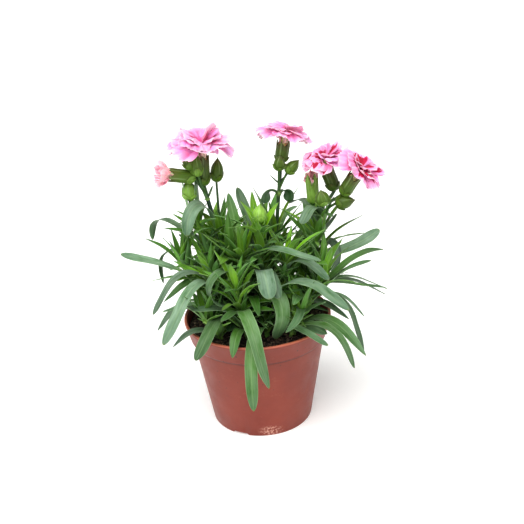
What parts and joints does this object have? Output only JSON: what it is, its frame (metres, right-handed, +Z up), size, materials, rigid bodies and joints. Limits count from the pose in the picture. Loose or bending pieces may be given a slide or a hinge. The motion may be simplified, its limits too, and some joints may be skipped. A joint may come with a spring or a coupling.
{
  "type": "potted dianthus plant",
  "caption": "Dwarf carnation in a plain round plastic nursery pot: arching strap leaves, upright flower stems with green buds, and fringed pink double blooms.",
  "frame": {"origin": "middle of the pot's foot, on the surface that the pot stands on", "axes": "+Z up along the pot's axis, -Y towards the viewer, +X to the viewer's right"},
  "size_m": [0.1892, 0.1576, 0.2173],
  "materials": {
    "pot_plastic": "satin",
    "potting_soil": "matte",
    "leaf_glaucous": "matte",
    "leaf_young": "matte",
    "petal_pink": "matte"
  },
  "bodies": {
    "root": {"pot": "pot_plastic", "soil": "potting_soil", "shoot_front": "leaf_young", "shoot_flower_left": "leaf_young", "shoot_flower_back": "leaf_young", "shoot_flower_right": "leaf_young", "shoot_bud_left": "leaf_young", "shoot_left": "leaf_glaucous", "shoot_left_front": "leaf_glaucous", "shoot_left_low": "leaf_glaucous", "shoot_right": "leaf_glaucous", "shoot_right_front": "leaf_glaucous", "shoot_right_back": "leaf_glaucous", "shoot_centre": "leaf_glaucous", "shoot_centre_right": "leaf_glaucous", "shoot_front_left": "leaf_glaucous", "shoot_back_left": "leaf_glaucous", "shoot_back": "leaf_glaucous", "bloom_left": "petal_pink", "bloom_back": "petal_pink", "bloom_right": "petal_pink", "bloom_right_low": "petal_pink", "half_bloom_left": "petal_pink", "half_bloom_right": "petal_pink"}
  },
  "joints": []
}
